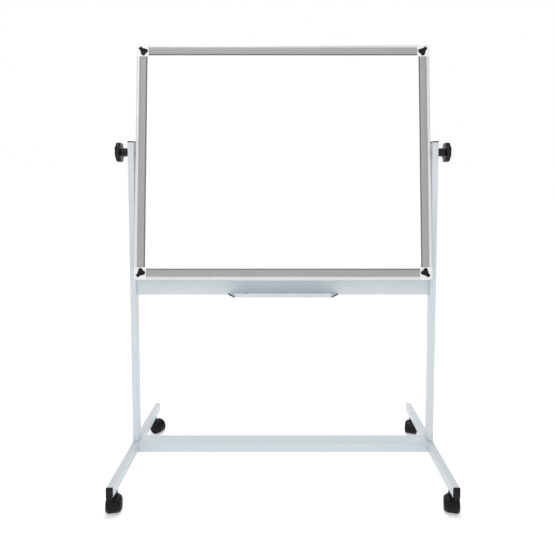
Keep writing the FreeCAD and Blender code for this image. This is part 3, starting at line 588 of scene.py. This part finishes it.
def knob(side_name, side):
    """A long neck and a thick grooved head. Each profile point has its own share of the groove."""
    low, high = box_mm(f"{side_name}_knob")
    scale = (high.x - low.x) / KNOB_LENGTH
    start = low.x if side > 0 else high.x
    grooved = [0, 0, 0, 0, 0, 0.3, 0.7, 1, 1, 1, 1, 0.8, 0.4, 0.12, 0, 0, 0, 0, 0]
    profile = [(0, 5.2), (0, 15.5), (0.8, 16.8), (2, 17), (21, 17), (24, 18.5), (25.4, 24),
               (26, 32), (27, 38), (29.4, 40.5), (33, KNOB_RIM), (40.5, KNOB_RIM), (43.4, 39.6),
               (44.8, 35), (45, 29), (44.6, 24.5), (43.2, 22.5), (43, 20), (43, 0)]

    def lobes(index, angle):
        groove = (0.5 + 0.5 * math.cos(KNOB_LOBES * angle)) ** 2.2
        return 1 - GROOVE_DEPTH * grooved[index] * groove

    solid = lathe([(z * scale, r) for z, r in profile], KNOB_LOBES * 24, lobes)
    Piece(f"{side_name}_knob").add(solid, shift(start, *PIVOT.yz) @ toward((side, 0, 0))).done()


# --- casters ---------------------------------------------------------------------------------------

WHEEL_RADIUS, WHEEL_INNER, TRAIL = 28, 13, 20
HOOD_RADIUS, HOOD_HALF, HOOD_CLEAR, HOOD_UNDER, HOOD_OPEN = 32.5, 19, 29.3, 11, 36
WEB_HALF, BOSS_TOP = 12.5, 65.7


def caster_pose(name):
    """Where a caster stands and how far it is swivelled, from its swivel and one wheel's axle."""
    swivel = Vector(joint_named[f"{name}_swivel"]["pos_m"]) / MM
    axle = Vector(joint_named[f"{name}_left_wheel_spin"]["axis"])
    return shift(swivel.x, swivel.y, 0) @ Matrix.Rotation(math.atan2(axle.y, axle.x), 4, "Z")


def boolean(base, tool, operation):
    """base joined with, or cut by, tool, as a new solid. Both are used up."""
    items = []
    for solid in (base, tool):
        mesh = bpy.data.meshes.new("shape")
        solid.to_mesh(mesh)
        solid.free()
        item = bpy.data.objects.new("shape", mesh)
        bpy.context.scene.collection.objects.link(item)
        items.append(item)
    modifier = items[0].modifiers.new("Boolean", "BOOLEAN")
    modifier.operation = operation
    modifier.object = items[1]
    modifier.solver = "MANIFOLD"
    result = items[0].evaluated_get(bpy.context.evaluated_depsgraph_get())
    solid = bmesh.new()
    solid.from_mesh(result.to_mesh())
    for item in items:
        mesh = item.data
        bpy.data.objects.remove(item)
        bpy.data.meshes.remove(mesh)
    return solid


def about_axle(profile, segments=96):
    """A lathe solid about the axle, with the profile's heights along X."""
    solid = lathe(profile, segments)
    solid.transform(shift(0, -TRAIL, WHEEL_RADIUS) @ toward((1, 0, 0)))
    return solid


def housing():
    """A hood over both wheels with a round boss on top, a web between the wheels and open ends."""
    rim = [(0, 0), (0, HOOD_RADIUS - 2.6), (0.8, HOOD_RADIUS - 0.9), (2.6, HOOD_RADIUS)]
    left = [(inward - HOOD_HALF, radius) for inward, radius in rim]
    right = [(HOOD_HALF - inward, radius) for inward, radius in reversed(rim)]
    boss = lathe([(28, 0), (28, 12.5), (52, 12.2), (57, 11), (64.6, 11), (BOSS_TOP, 10),
                  (BOSS_TOP, 0)])
    solid = boolean(about_axle(left + right), boss, "UNION")
    reach = 4 * HOOD_RADIUS
    for side in (-1, 1):
        inner, outer = sorted((side * WEB_HALF, side * reach))
        room = about_axle([(inner, 0), (inner, HOOD_CLEAR), (outer, HOOD_CLEAR), (outer, 0)])
        solid = boolean(solid, room, "DIFFERENCE")
    below = block((-reach, -reach, -reach), (reach, reach, HOOD_UNDER))
    solid = boolean(solid, below, "DIFFERENCE")
    behind = block((-reach, -2, -reach), (reach, HOOD_RADIUS - 2, HOOD_OPEN))
    return boolean(solid, behind, "DIFFERENCE")


def wheel(side):
    """A wheel with rounded shoulders, a grooved tread and a dished outer face."""
    profile = [(WHEEL_INNER, 3.2), (WHEEL_INNER, 26.2), (13.5, 27.5), (14.6, WHEEL_RADIUS),
               (16.6, WHEEL_RADIUS),
               (17, 27.4), (18, 27.4), (18.4, WHEEL_RADIUS), (20.4, 27.9), (23, 27.1),
               (25.4, 25.4), (27, 22.8), (27.8, 19.8), (27.6, 18.6), (25.6, 17.9), (24.4, 16.6),
               (23.8, 13.6), (23.9, 11), (25, 9.9), (27, 9.2), (27.7, 8), (27.8, 5.6),
               (27, 5), (26.8, 0)]
    solid = lathe(profile, 72)
    solid.transform(toward((1, 0, 0)))
    if side < 0:
        solid.transform(Matrix.Scale(-1, 4, (1, 0, 0)))
    solid.transform(shift(0, -TRAIL, WHEEL_RADIUS))
    bmesh.ops.recalc_face_normals(solid, faces=solid.faces)
    return solid


PEDAL_PIVOT, PEDAL_RISE = (0, -40, 55), 12


def pedal(name, pose):
    """A foot pedal with three grip ribs, hinged behind the hood and resting slightly raised."""
    raised = pose @ shift(*PEDAL_PIVOT) @ Matrix.Rotation(math.radians(-PEDAL_RISE), 4, "X")
    blade = [(-8, 0), (-8, -4.5), (-13, -6.6), (-13, -12), (-10.8, -14), (10.8, -14), (13, -12),
             (13, -6.6), (8, -4.5), (8, 0)]
    look = Piece(f"{name}_brake_pedal")
    look.add(prism(blade, 0.9, 3.5, 0.7, 2), raised)
    look.add(lathe([(-8, 0), (-8, 3.1), (-7.6, 3.5), (7.6, 3.5), (8, 3.1), (8, 0)], 32),
             raised @ toward((1, 0, 0)))
    for y in (-7.6, -9.8, -12):
        look.add(block((-10, y - 0.45, 3.3), (10, y + 0.45, 4.1), 0.3, 2), raised)
    look.done()


def build_casters():
    for name in ("front_left", "front_right"):
        pedal(name, caster_pose(name))
    for name in ("front_left", "front_right", "rear_left", "rear_right"):
        pose = caster_pose(name)
        Piece(f"{name}_caster_housing").add(housing(), pose).done()
        for wheel_name, side in SIDES:
            Piece(f"{name}_caster_{wheel_name}_wheel").add(wheel(side), pose).done()


def finish_cad_nodes():
    """Gives every node that is shown as the CAD made it its slot's material."""
    for node, item in frame["nodes"].items():
        item.data.materials.clear()
        item.data.materials.append(SLOT_MATERIALS[slot_of[node]])


# --- stage, light and camera -----------------------------------------------------------------------

# metres and degrees from here on
FLOOR_REACH, FLOOR_GLOW = 40, 0.36
CAMERA_PLACE, CAMERA_DOWN = (0, -2.010, 1.189), 3.38


def build_stage():
    """A white floor that glows a little, so that it stays white far away."""
    mesh = bpy.data.meshes.new("floor")
    corners = [(x * FLOOR_REACH, y * FLOOR_REACH, 0)
               for x, y in ((-1, -1), (1, -1), (1, 1), (-1, 1))]
    mesh.from_pydata(corners, [], [(0, 1, 2, 3)])
    floor = bpy.data.objects.new("floor", mesh)
    bpy.context.scene.collection.objects.link(floor)
    pale = finish_material("floor", (0.9, 0.9, 0.9), 0.75, tone=0.004, tone_scale=0.5,
                           blotch=0.02, blotch_scale=1.0)
    shader = pale.node_tree.nodes["Principled BSDF"]
    shader.inputs["Emission Color"].default_value = (1, 1, 1, 1)
    shader.inputs["Emission Strength"].default_value = FLOOR_GLOW
    mesh.materials.append(pale)


def build_world():
    """A white studio, dimmer high up at both sides."""
    world = bpy.data.worlds.new("studio")
    bpy.context.scene.world = world
    world.use_nodes = True
    tree = world.node_tree
    link = tree.links.new
    place = add_node(tree, "ShaderNodeTexCoord")
    parts = add_node(tree, "ShaderNodeSeparateXYZ")
    sideways = add_node(tree, "ShaderNodeMath", operation="ABSOLUTE")
    to_side = add_node(tree, "ShaderNodeMapRange", {"From Min": 0.4, "From Max": 0.7})
    upward = add_node(tree, "ShaderNodeMapRange", {"From Min": 0.3, "From Max": 0.45})
    both = add_node(tree, "ShaderNodeMath", operation="MULTIPLY")
    level = add_node(tree, "ShaderNodeMapRange", {"To Min": 1.0, "To Max": 0.0})
    link(place.outputs["Generated"], parts.inputs["Vector"])
    link(parts.outputs["X"], sideways.inputs[0])
    link(sideways.outputs["Value"], to_side.inputs["Value"])
    link(parts.outputs["Z"], upward.inputs["Value"])
    link(to_side.outputs["Result"], both.inputs[0])
    link(upward.outputs["Result"], both.inputs[1])
    link(both.outputs["Value"], level.inputs["Value"])
    link(level.outputs["Result"], tree.nodes["Background"].inputs["Strength"])
    tree.nodes["Background"].inputs["Color"].default_value = (1, 1, 1, 1)


def area_light(name, place, target, size, power):
    """A round soft light in metres and watts, pointed at a target."""
    light = bpy.data.lights.new(name, "AREA")
    light.shape = "DISK"
    light.size = size
    light.energy = power
    item = bpy.data.objects.new(name, light)
    bpy.context.scene.collection.objects.link(item)
    item.location = place
    item.rotation_euler = (Vector(target) - Vector(place)).to_track_quat("-Z", "Y").to_euler()


def build_camera():
    """In front, a little below the board's middle, pointed slightly down and shifted."""
    camera = bpy.data.cameras.new("camera")
    camera.sensor_width = 36
    camera.lens = 31.78
    camera.shift_x = -0.010
    camera.shift_y = -0.118
    camera.clip_end = 100
    item = bpy.data.objects.new("camera", camera)
    bpy.context.scene.collection.objects.link(item)
    item.location = CAMERA_PLACE
    item.rotation_euler = (math.radians(90 - CAMERA_DOWN), 0, 0)
    bpy.context.scene.camera = item


# --- everything ------------------------------------------------------------------------------------

build_stand()
build_tray_channel()
build_tray_caps_and_painted_shade()
build_tray_screws()
build_rails()
build_corners()
for side_name, side in SIDES:
    knob(side_name, side)
build_casters()
finish_cad_nodes()

build_stage()
build_world()
area_light("key", (-0.9, -2.6, 3.2), (0, 0, 0.8), 1.6, 15)
area_light("top", (0.0, 0.3, 3.6), (0, 0, 0), 1.2, 34)
build_camera()
bpy.context.scene.view_settings.view_transform = "Standard"
